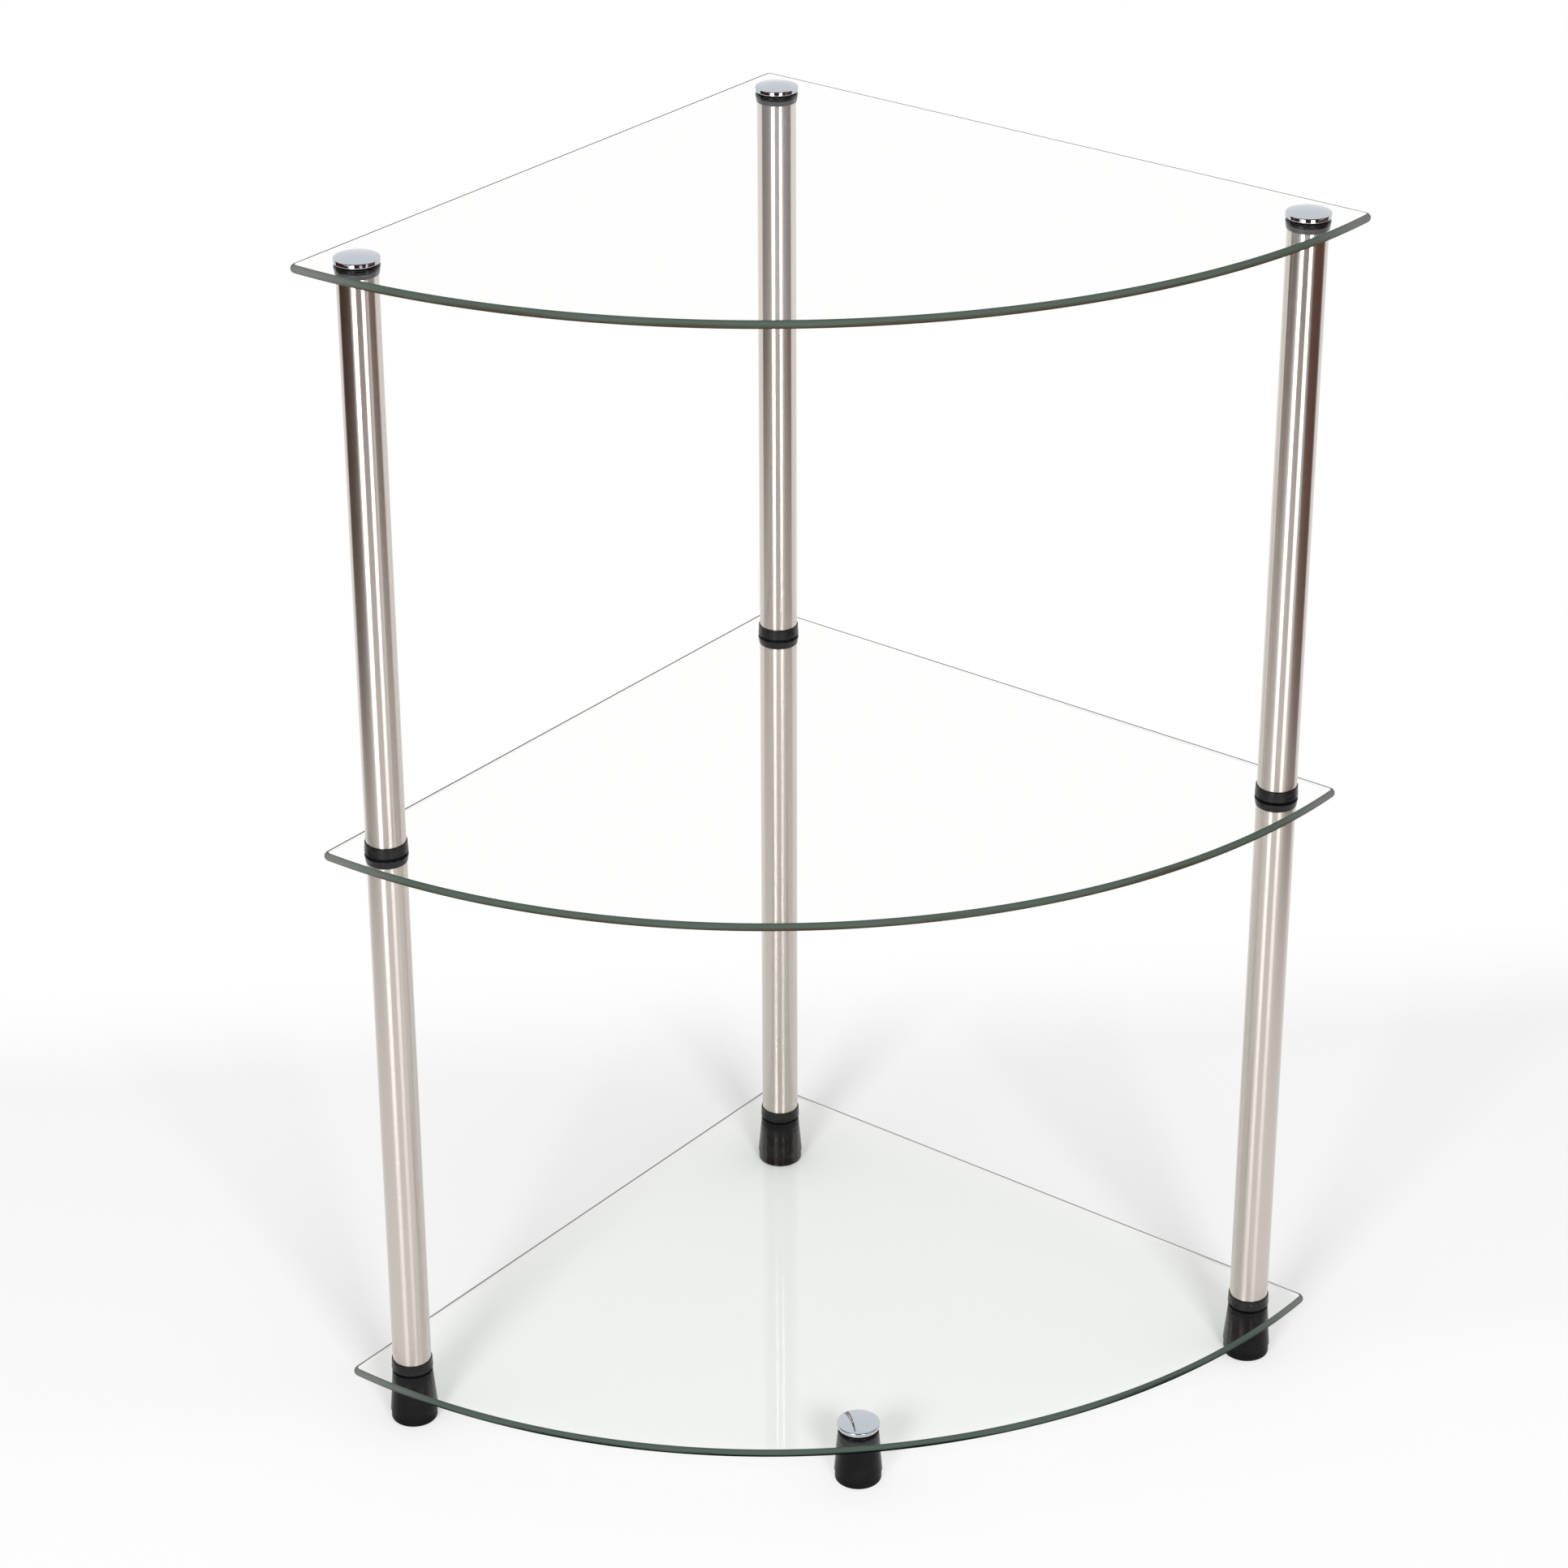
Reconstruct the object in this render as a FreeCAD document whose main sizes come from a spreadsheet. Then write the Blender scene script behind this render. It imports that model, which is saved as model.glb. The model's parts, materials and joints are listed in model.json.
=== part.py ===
import FreeCAD, Part

import math
import os

import Sketcher

# Glass corner shelf: three quarter-round glass shelves on three posts of steel tube.
# Frame: +Z up, rounded front towards -Y, square corner towards +Y, floor at Z = 0.

SIZES = [
    ("shelf_side", 450, "straight rear edge of a shelf, also the radius of its front"),
    ("glass_thickness", 5, "thickness of each shelf"),
    ("pencil_round", 2.4, "rounding of the polished outer edge, above and below"),
    ("tip_round", 5, "rounding where a straight edge meets the front"),
    ("corner_round", 3, "rounding of the square corner"),
    ("hole_dia", 12, "hole drilled through the glass at each post"),
    ("arris", 0.4, "bevel ground on the edges of each hole"),
    ("tier_pitch", 380, "height from one shelf to the next"),
    ("rear_inset", 29, "rear post axis to both straight edges"),
    ("side_edge_inset", 29.5, "side post axis to the straight edge beside it"),
    ("side_arc_inset", 26, "side post axis to the rounded front"),
    ("front_arc_inset", 24, "front foot axis to the rounded front"),
    ("tube_dia", 25, "outside of a post tube"),
    ("tube_wall", 1, "wall of a post tube"),
    ("base_collar_dia", 27.2, "collar under a tube, where it stands on the glass"),
    ("base_collar_rim_dia", 26.4, "collar under a tube, at the tube"),
    ("base_collar_height", 7, "collar under a tube"),
    ("head_collar_dia", 27.4, "collar on top of a tube, where it meets the glass"),
    ("head_collar_rim_dia", 25.8, "collar on top of a tube, at the tube"),
    ("head_collar_height", 5, "collar on top of a tube"),
    ("collar_round", 0.4, "rounding of the collar's edges"),
    ("fitting_length", 27, "collar with its plug, from the glass to the plug's end"),
    ("spigot_dia", 11.6, "spigot that centres a piece in the hole of the glass"),
    ("spigot_length", 2.2, "depth of that spigot in the glass"),
    ("stud_dia", 8, "threaded stud, over its thread"),
    ("stud_hole_dia", 8.4, "clearance hole for a stud"),
    ("stud_bevel", 0.8, "bevel on a stud's ends"),
    ("stud_grip", 11, "length of a stud inside an insert"),
    ("insert_dia", 12, "threaded brass insert"),
    ("insert_length", 14, "threaded brass insert"),
    ("foot_height", 34, "floor to the underside of the bottom shelf"),
    ("foot_top_dia", 26.2, "foot at the glass"),
    ("foot_base_dia", 31, "foot at the seam above its pad"),
    ("foot_socket_dia", 24, "socket for the pad, in the underside of the foot"),
    ("foot_socket_depth", 5.5, "depth of that socket"),
    ("foot_seat_depth", 8, "foot's top to the insert"),
    ("pad_dia", 30, "pad under a foot"),
    ("pad_height", 6.5, "visible band of the pad"),
    ("pad_plug_height", 3.5, "ring of the pad inside the socket"),
    ("pad_plug_wall", 3, "wall of that ring"),
    ("pad_round", 1.2, "rounding of the pad's lower edge"),
    ("seam_round", 0.4, "rounding of the edges at the seam"),
    ("cap_dia", 27.5, "chrome cap"),
    ("cap_height", 2.9, "chrome cap, at its rim"),
    ("cap_dome", 2, "rise of the cap's domed top above its rim"),
    ("cap_round", 0.7, "rounding of the cap's edges"),
    ("cap_screw_length", 26, "threaded spigot under the cap"),
    ("washer_dia", 26, "washer under the cap"),
    ("washer_thickness", 0.4, "washer under the cap"),
]

POSTS = ("rear", "left", "right")
FEET = POSTS + ("front",)
SHELVES = ("bottom_glass_shelf", "middle_glass_shelf", "top_glass_shelf")
TUBES = ("lower", "upper")

# Places on a shelf as distances from the square corner along the left and the right edge
SIDE_REACH = "sqrt((dim.shelf_side - dim.side_arc_inset)^2 - dim.side_edge_inset^2)"
FRONT_REACH = "(dim.shelf_side - dim.front_arc_inset) / sqrt(2)"
PLACES = {
    "rear": ("dim.rear_inset", "dim.rear_inset"),
    "left": (SIDE_REACH, "dim.side_edge_inset"),
    "right": ("dim.side_edge_inset", SIDE_REACH),
    "front": (FRONT_REACH, FRONT_REACH),
}

# The square corner's place, which puts the origin in the middle of the outline
CORNER_Y = "(dim.shelf_side + dim.corner_round * (sqrt(2) - 1)) / 2"
CORNER_TURN = 225

TUBE_LENGTH = (
    "dim.tier_pitch - dim.glass_thickness - dim.base_collar_height - dim.head_collar_height"
)
INSERT_SEAT = "dim.fitting_length - dim.insert_length"

TOLERANCE = 1e-4

doc = FreeCAD.newDocument("corner_shelf")
subparts = []


def fill_sheet():
    """Writes the driving dimensions to the sheet, one aliased cell each."""
    sheet = doc.addObject("Spreadsheet::Sheet", "dim")
    for row, (alias, size, meaning) in enumerate(SIZES, start=1):
        sheet.set(f"A{row}", meaning)
        sheet.set(f"B{row}", str(size))
        sheet.setAlias(f"B{row}", alias)
    doc.recompute()
    return sheet


sheet = fill_sheet()


def number(expression):
    """Value of an expression on the sheet, in millimetres."""
    return float(sheet.evalExpression(expression))


def shelf_underside(tier):
    """Height of the underside of a shelf, counted from the bottom shelf, 0."""
    return f"dim.foot_height + {tier} * dim.tier_pitch"


def shelf_top(tier):
    """Height of the upper face of a shelf."""
    return f"{shelf_underside(tier)} + dim.glass_thickness"


def stand(piece, place, height, upside_down=False):
    """Puts a piece on the axis of a post or foot at the given height."""
    along_left, along_right = PLACES[place]
    turn = 180 if upside_down else 0
    rotation = FreeCAD.Rotation(FreeCAD.Vector(1, 0, 0), turn)
    piece.Placement = FreeCAD.Placement(FreeCAD.Vector(), rotation)
    piece.setExpression("Placement.Base.x", f"({along_right} - {along_left}) / sqrt(2)")
    piece.setExpression("Placement.Base.y", f"{CORNER_Y} - ({along_left} + {along_right}) / sqrt(2)")
    piece.setExpression("Placement.Base.z", height)


def new_subpart(kind, label):
    """A document object that becomes one of the kept sub-parts."""
    piece = doc.addObject(kind, label)
    piece.Label = label
    subparts.append(piece)
    return piece


def new_sketch(body, name, role):
    """A sketch on one of the body's own origin planes."""
    plane = next(item for item in body.Origin.OriginFeatures if item.Role == role)
    sketch = body.newObject("Sketcher::SketchObject", name)
    sketch.AttachmentSupport = [(plane, "")]
    sketch.MapMode = "FlatFace"
    return sketch


def constrain(sketch, name, expression, kind, *elements):
    """Adds a named dimension to the sketch and binds it to the sheet."""
    index = sketch.addConstraint(Sketcher.Constraint(kind, *elements, number(expression)))
    sketch.renameConstraint(index, name)
    sketch.setExpression(f"Constraints.{name}", expression)


def round_edges(body, solid, size, corners):
    """Rounds the circular edges that the given corners of a turned profile leave on the solid."""
    doc.recompute()
    rings = [(number(radius), number(height)) for radius, height in corners]
    names = []
    for index, edge in enumerate(solid.Shape.Edges, start=1):
        if edge.Degenerated or not isinstance(edge.Curve, Part.Circle):
            continue
        ring = (edge.Curve.Radius, edge.Curve.Center.z)
        if any(math.dist(ring, wanted) < TOLERANCE for wanted in rings):
            names.append(f"Edge{index}")
    fillet = body.newObject("PartDesign::Fillet", body.Name + "_round")
    fillet.Base = (solid, names)
    fillet.setExpression("Radius", size)


def dome_arc(rim, crown):
    """An arc from a rim up to a crown on the axis, with its centre on the axis too."""
    rise = crown.y - rim.y
    radius = (rim.x ** 2 + rise ** 2) / (2 * rise)
    centre = FreeCAD.Vector(0, crown.y - radius, 0)
    start = math.atan2(rim.y - centre.y, rim.x)
    return Part.ArcOfCircle(Part.Circle(centre, FreeCAD.Vector(0, 0, 1), radius), start, math.pi / 2)


def turned_body(label, profile, round_size=None, rounded=(), dome_rim=None):
    """A body turned about its own Z axis from a closed run of (radius, height) corners.

    The side that leaves the corner dome_rim is an arc, and the others are straight.
    """
    body = new_subpart("PartDesign::Body", label)
    sketch = new_sketch(body, label + "_profile", "XZ_Plane")
    points = [FreeCAD.Vector(number(radius), number(height), 0) for radius, height in profile]
    count = len(points)
    for index, corner in enumerate(profile):
        following = points[(index + 1) % count]
        if corner == dome_rim:
            side = sketch.addGeometry(dome_arc(points[index], following))
            sketch.addConstraint(Sketcher.Constraint("PointOnObject", side, 3, -2))
        else:
            sketch.addGeometry(Part.LineSegment(points[index], following))
    for index, (radius, height) in enumerate(profile):
        previous = (index - 1) % count
        sketch.addConstraint(Sketcher.Constraint("Coincident", previous, 2, index, 1))
        constrain(sketch, f"radius_{index}", radius, "DistanceX", -1, 1, index, 1)
        constrain(sketch, f"height_{index}", height, "DistanceY", -1, 1, index, 1)
    turn = body.newObject("PartDesign::Revolution", label + "_turn")
    turn.Profile = sketch
    turn.ReferenceAxis = (sketch, ["V_Axis"])
    turn.Angle = 360
    if rounded:
        round_edges(body, turn, round_size, rounded)
    return body


# Glass shelves

def draw_shelf_outline(sketch):
    """Two straight edges from the square corner, a quarter-round front and rounded tips."""
    side = number("dim.shelf_side")
    tip = number("dim.tip_round")
    corner = number("dim.corner_round")
    reach = math.sqrt((side - tip) ** 2 - tip ** 2)
    lift = math.atan2(tip, reach)
    quarter = math.pi / 2
    up = FreeCAD.Vector(0, 0, 1)

    def arc(centre_x, centre_y, radius, start, end):
        circle = Part.Circle(FreeCAD.Vector(centre_x, centre_y, 0), up, radius)
        return sketch.addGeometry(Part.ArcOfCircle(circle, start, end))

    def line(start, end):
        return sketch.addGeometry(Part.LineSegment(FreeCAD.Vector(*start, 0), FreeCAD.Vector(*end, 0)))

    left_edge = line((corner, 0), (reach, 0))
    left_tip = arc(reach, tip, tip, -quarter, lift)
    front = arc(0, 0, side, lift, quarter - lift)
    right_tip = arc(tip, reach, tip, quarter - lift, 2 * quarter)
    right_edge = line((0, reach), (0, corner))
    square_corner = arc(corner, corner, corner, 2 * quarter, 3 * quarter)

    run = [left_edge, left_tip, front, right_tip, right_edge, square_corner]
    for index, element in enumerate(run):
        following = run[(index + 1) % len(run)]
        sketch.addConstraint(Sketcher.Constraint("Tangent", element, 2, following, 1))
    sketch.addConstraint(Sketcher.Constraint("Horizontal", left_edge))
    sketch.addConstraint(Sketcher.Constraint("Vertical", right_edge))
    sketch.addConstraint(Sketcher.Constraint("PointOnObject", left_edge, 1, -1))
    sketch.addConstraint(Sketcher.Constraint("PointOnObject", right_edge, 2, -2))
    sketch.addConstraint(Sketcher.Constraint("Coincident", front, 3, -1, 1))
    constrain(sketch, "front_radius", "dim.shelf_side", "Radius", front)
    constrain(sketch, "left_tip_round", "dim.tip_round", "Radius", left_tip)
    constrain(sketch, "right_tip_round", "dim.tip_round", "Radius", right_tip)
    constrain(sketch, "square_corner_round", "dim.corner_round", "Radius", square_corner)


def draw_holes(sketch, places):
    """One drilled hole at each post or foot."""
    for place in places:
        along_left, along_right = PLACES[place]
        centre = FreeCAD.Vector(number(along_left), number(along_right), 0)
        radius = number("dim.hole_dia / 2")
        hole = sketch.addGeometry(Part.Circle(centre, FreeCAD.Vector(0, 0, 1), radius))
        constrain(sketch, place + "_dia", "dim.hole_dia", "Diameter", hole)
        constrain(sketch, place + "_along_left", along_left, "DistanceX", -1, 1, hole, 3)
        constrain(sketch, place + "_along_right", along_right, "DistanceY", -1, 1, hole, 3)


def level_edges(solid, radius=None):
    """Names of the edges around both faces of the glass, or only of the circles of one radius there."""
    faces_at = (0, number("dim.glass_thickness"))
    names = []
    for index, edge in enumerate(solid.Shape.Edges, start=1):
        box = edge.BoundBox
        level = box.ZLength < TOLERANCE and any(abs(box.ZMin - face) < TOLERANCE for face in faces_at)
        circle = isinstance(edge.Curve, Part.Circle)
        wanted = radius is None or (circle and abs(edge.Curve.Radius - radius) < TOLERANCE)
        if level and wanted:
            names.append(f"Edge{index}")
    return names


def glass_shelf(label, tier, places):
    """A shelf with a polished round edge and its drilled holes."""
    body = new_subpart("PartDesign::Body", label)
    outline = new_sketch(body, label + "_outline", "XY_Plane")
    draw_shelf_outline(outline)
    plate = body.newObject("PartDesign::Pad", label + "_plate")
    plate.Profile = outline
    plate.setExpression("Length", "dim.glass_thickness")
    doc.recompute()
    polish = body.newObject("PartDesign::Fillet", label + "_pencil_edge")
    polish.Base = (plate, level_edges(plate))
    polish.setExpression("Radius", "dim.pencil_round")
    doc.recompute()
    whole = polish.Shape.Volume

    holes = new_sketch(body, label + "_holes", "XY_Plane")
    draw_holes(holes, places)
    drilled = body.newObject("PartDesign::Pocket", label + "_drilled")
    drilled.Profile = holes
    drilled.Type = "ThroughAll"
    drilled.Reversed = True
    doc.recompute()
    hole_radius = number("dim.hole_dia / 2")
    removed = len(places) * math.pi * hole_radius ** 2 * number("dim.glass_thickness")
    if abs(whole - drilled.Shape.Volume - removed) > 1:
        raise RuntimeError(f"{label}: the holes do not go through the glass")

    bevel = body.newObject("PartDesign::Chamfer", label + "_arris")
    bevel.Base = (drilled, level_edges(drilled, hole_radius))
    bevel.setExpression("Size", "dim.arris")

    rotation = FreeCAD.Rotation(FreeCAD.Vector(0, 0, 1), CORNER_TURN)
    body.Placement = FreeCAD.Placement(FreeCAD.Vector(), rotation)
    body.setExpression("Placement.Base.y", CORNER_Y)
    body.setExpression("Placement.Base.z", shelf_underside(tier))


# Posts: tubes, collars, studs and inserts

def post_tube(place, tier):
    """A tube from the collar on one shelf to the collar under the next."""
    label = f"{place}_{TUBES[tier]}_tube"
    body = new_subpart("PartDesign::Body", label)
    ring = new_sketch(body, label + "_ring", "XY_Plane")
    for name, dia in (("outside", "dim.tube_dia"), ("inside", "dim.tube_dia - 2 * dim.tube_wall")):
        radius = number(f"({dia}) / 2")
        circle = ring.addGeometry(Part.Circle(FreeCAD.Vector(), FreeCAD.Vector(0, 0, 1), radius))
        ring.addConstraint(Sketcher.Constraint("Coincident", circle, 3, -1, 1))
        constrain(ring, name, dia, "Diameter", circle)
    wall = body.newObject("PartDesign::Pad", label + "_wall")
    wall.Profile = ring
    wall.setExpression("Length", TUBE_LENGTH)
    stand(body, place, f"{shelf_top(tier)} + dim.base_collar_height")


def tube_fitting(label, kind):
    """A collar with a plug for the tube, a seat for an insert and a spigot for the glass."""
    stud_hole = "dim.stud_hole_dia / 2"
    spigot = "dim.spigot_dia / 2"
    collar = f"dim.{kind}_collar_dia / 2"
    rim = f"dim.{kind}_collar_rim_dia / 2"
    height = f"dim.{kind}_collar_height"
    plug = "dim.tube_dia / 2 - dim.tube_wall"
    seat = "dim.insert_dia / 2"
    profile = [
        (stud_hole, "-dim.spigot_length"),
        (spigot, "-dim.spigot_length"),
        (spigot, "0"),
        (collar, "0"),
        (rim, height),
        (plug, height),
        (plug, "dim.fitting_length"),
        (seat, "dim.fitting_length"),
        (seat, INSERT_SEAT),
        (stud_hole, INSERT_SEAT),
    ]
    return turned_body(label, profile, "dim.collar_round", [(collar, "0"), (rim, height)])


def stud(label, below, above):
    """A threaded stud through the glass, reaching below and above its underside."""
    radius = "dim.stud_dia / 2"
    neck = "dim.stud_dia / 2 - dim.stud_bevel"
    profile = [
        ("0", f"-({below})"),
        (neck, f"-({below})"),
        (radius, f"dim.stud_bevel - ({below})"),
        (radius, f"{above} - dim.stud_bevel"),
        (neck, above),
        ("0", above),
    ]
    return turned_body(label, profile)


def threaded_insert(name, place, height, upside_down=False):
    """A brass insert: a plain ring that stands for its knurl and thread."""
    outside = doc.addObject("Part::Cylinder", name + "_outside")
    outside.setExpression("Radius", "dim.insert_dia / 2")
    outside.setExpression("Height", "dim.insert_length")
    thread = doc.addObject("Part::Cylinder", name + "_thread")
    thread.setExpression("Radius", "dim.stud_dia / 2")
    thread.setExpression("Height", "dim.insert_length")
    ring = doc.addObject("Part::Cut", name)
    ring.Base = outside
    ring.Tool = thread
    stand(ring, place, height, upside_down)
    return ring


def post(place):
    """The two tubes of a post with their collars and the stud that joins them."""
    inserts = []
    above_glass = f"dim.glass_thickness + {INSERT_SEAT} + dim.stud_grip"
    for tier, tube in enumerate(TUBES):
        label = f"{place}_{tube}_tube"
        low = shelf_top(tier)
        high = shelf_underside(tier + 1)
        post_tube(place, tier)
        stand(tube_fitting(label + "_base_collar", "base"), place, low)
        stand(tube_fitting(label + "_head_collar", "head"), place, high, upside_down=True)
        inserts.append(threaded_insert(label + "_base_insert", place, f"{low} + {INSERT_SEAT}"))
        seat = f"{high} - ({INSERT_SEAT})"
        inserts.append(threaded_insert(label + "_head_insert", place, seat, upside_down=True))
    below_glass = f"{INSERT_SEAT} + dim.stud_grip"
    stand(stud(f"{place}_joining_stud", below_glass, above_glass), place, shelf_underside(1))
    below_glass = "dim.foot_seat_depth + dim.stud_grip"
    stand(stud(f"{place}_foot_stud", below_glass, above_glass), place, shelf_underside(0))
    return inserts


# Feet and caps

def foot(place):
    """A conical foot with its pad, and the insert that its stud or cap screws into."""
    top = "dim.foot_height - dim.pad_height"
    seam = "dim.foot_base_dia / 2"
    socket = "dim.foot_socket_dia / 2"
    seat = "dim.insert_dia / 2"
    stud_hole = "dim.stud_hole_dia / 2"
    spigot = "dim.spigot_dia / 2"
    profile = [
        (socket, "0"),
        (seam, "0"),
        ("dim.foot_top_dia / 2", top),
        (spigot, top),
        (spigot, f"{top} + dim.spigot_length"),
        (stud_hole, f"{top} + dim.spigot_length"),
        (stud_hole, f"{top} - dim.foot_seat_depth"),
        (seat, f"{top} - dim.foot_seat_depth"),
        (seat, "dim.foot_socket_depth"),
        (socket, "dim.foot_socket_depth"),
    ]
    body = turned_body(f"{place}_foot", profile, "dim.seam_round", [(seam, "0")])
    stand(body, place, "dim.pad_height")

    edge = "dim.pad_dia / 2"
    bore = "dim.foot_socket_dia / 2 - dim.pad_plug_wall"
    plug_top = "dim.pad_height + dim.pad_plug_height"
    profile = [
        ("0", "0"),
        (edge, "0"),
        (edge, "dim.pad_height"),
        (socket, "dim.pad_height"),
        (socket, plug_top),
        (bore, plug_top),
        (bore, "dim.pad_height"),
        ("0", "dim.pad_height"),
    ]
    pad = turned_body(f"{place}_foot_pad", profile, "dim.pad_round", [(edge, "0")])
    stand(pad, place, "0")

    height = "dim.foot_height - dim.foot_seat_depth - dim.insert_length"
    return threaded_insert(f"{place}_foot_insert", place, height)


def cap(place, tier):
    """A domed chrome cap with its threaded spigot, on a washer that keeps it off the glass."""
    edge = "dim.cap_dia / 2"
    thread = "dim.stud_dia / 2"
    end = "dim.stud_dia / 2 - dim.stud_bevel"
    profile = [
        ("0", "-dim.cap_screw_length"),
        (end, "-dim.cap_screw_length"),
        (thread, "dim.stud_bevel - dim.cap_screw_length"),
        (thread, "0"),
        (edge, "0"),
        (edge, "dim.cap_height"),
        ("0", "dim.cap_height + dim.cap_dome"),
    ]
    edges = [(edge, "0"), (edge, "dim.cap_height")]
    body = turned_body(f"{place}_cap", profile, "dim.cap_round", edges, dome_rim=edges[1])
    stand(body, place, f"{shelf_top(tier)} + dim.washer_thickness")

    bore = "dim.stud_hole_dia / 2"
    sleeve = "dim.spigot_dia / 2"
    profile = [
        (bore, "-dim.spigot_length"),
        (sleeve, "-dim.spigot_length"),
        (sleeve, "0"),
        ("dim.washer_dia / 2", "0"),
        ("dim.washer_dia / 2", "dim.washer_thickness"),
        (bore, "dim.washer_thickness"),
    ]
    washer = turned_body(f"{place}_cap_washer", profile)
    stand(washer, place, shelf_top(tier))


def insert_group(label, inserts):
    """Identical inserts kept together as one sub-part of separate solids."""
    group = new_subpart("Part::Compound", label)
    group.Links = inserts


def check_document():
    """Stops if any object failed or any sub-part is empty or faulty."""
    for item in doc.Objects:
        if "Invalid" in item.State or "Error" in item.State:
            raise RuntimeError(f"{item.Label}: {item.State}")
    for piece in subparts:
        if piece.Shape.isNull() or not piece.Shape.isValid():
            raise RuntimeError(f"{piece.Label}: faulty shape")


def main():
    """Builds the assembly and writes every sub-part to its own file."""
    for tier, label in enumerate(SHELVES):
        glass_shelf(label, tier, FEET if tier == 0 else POSTS)
    tube_inserts = []
    for place in POSTS:
        tube_inserts += post(place)
        cap(place, len(TUBES))
    foot_inserts = [foot(place) for place in FEET]
    cap("front", 0)
    insert_group("tube_threaded_inserts", tube_inserts)
    insert_group("foot_threaded_inserts", foot_inserts)
    doc.recompute()
    check_document()
    os.makedirs("parts", exist_ok=True)
    for piece in subparts:
        piece.Shape.exportStep(f"parts/{piece.Label}.step")
        print(f"{piece.Label}: {len(piece.Shape.Solids)} solid, {piece.Shape.Volume:.1f} mm3")
    print(f"{len(subparts)} sub-parts written")


main()
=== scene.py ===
"""Glass corner shelf: three clear quarter-round shelves on brushed steel posts with black fittings."""

import json
import math

import bmesh
import bpy
from bpy.props import FloatProperty, FloatVectorProperty, IntProperty, PointerProperty
from mathutils import Matrix, Vector

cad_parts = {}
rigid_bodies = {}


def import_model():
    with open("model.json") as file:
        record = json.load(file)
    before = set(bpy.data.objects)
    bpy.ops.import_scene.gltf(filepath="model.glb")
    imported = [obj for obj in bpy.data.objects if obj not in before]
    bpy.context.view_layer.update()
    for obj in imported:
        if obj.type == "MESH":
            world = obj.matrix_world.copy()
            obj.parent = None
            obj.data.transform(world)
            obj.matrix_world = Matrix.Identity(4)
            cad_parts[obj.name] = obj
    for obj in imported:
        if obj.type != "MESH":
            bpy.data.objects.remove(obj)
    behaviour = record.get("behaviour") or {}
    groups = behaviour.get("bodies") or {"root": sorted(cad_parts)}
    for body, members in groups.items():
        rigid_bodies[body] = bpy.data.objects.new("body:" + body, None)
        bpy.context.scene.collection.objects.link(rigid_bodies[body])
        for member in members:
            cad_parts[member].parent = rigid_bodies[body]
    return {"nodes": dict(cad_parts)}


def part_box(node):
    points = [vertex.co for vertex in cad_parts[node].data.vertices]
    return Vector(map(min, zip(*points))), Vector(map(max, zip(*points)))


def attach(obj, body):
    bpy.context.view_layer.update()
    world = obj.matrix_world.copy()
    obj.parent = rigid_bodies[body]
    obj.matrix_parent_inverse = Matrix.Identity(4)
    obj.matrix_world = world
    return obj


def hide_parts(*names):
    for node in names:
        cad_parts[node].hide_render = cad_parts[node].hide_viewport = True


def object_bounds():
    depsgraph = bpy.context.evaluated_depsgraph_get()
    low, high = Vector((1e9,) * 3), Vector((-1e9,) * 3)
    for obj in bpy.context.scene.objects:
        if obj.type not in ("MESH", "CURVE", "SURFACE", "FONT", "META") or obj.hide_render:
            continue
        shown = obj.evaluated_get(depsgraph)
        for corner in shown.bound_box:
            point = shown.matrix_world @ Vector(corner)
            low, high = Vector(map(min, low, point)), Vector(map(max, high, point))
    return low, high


bl_info = {
    "name": "Glass Corner Shelf",
    "version": (1, 0, 0),
    "blender": (4, 5, 0),
    "location": "View3D > Sidebar > Corner Shelf",
    "description": "Dresses a glass corner shelf and sets up a plain studio around it",
    "category": "Object",
}

for startup_object in list(bpy.data.objects):
    bpy.data.objects.remove(startup_object)
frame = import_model()
cad_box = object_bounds()

MM = 0.001
BODY = "root"
TIERS = ("bottom", "middle", "top")
POSTS = ("rear", "left", "right")
FEET = ("rear", "left", "right", "front")
TUBES = ("lower", "upper")
SHARP_ANGLE = math.radians(25)
LINE_CONTRAST = (0.38, 0.62)

POST_CENTRES = {}
for foot_name in FEET:
    foot_low, foot_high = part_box(foot_name + "_foot")
    POST_CENTRES[foot_name] = (foot_low + foot_high) / 2


# Settings


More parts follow.
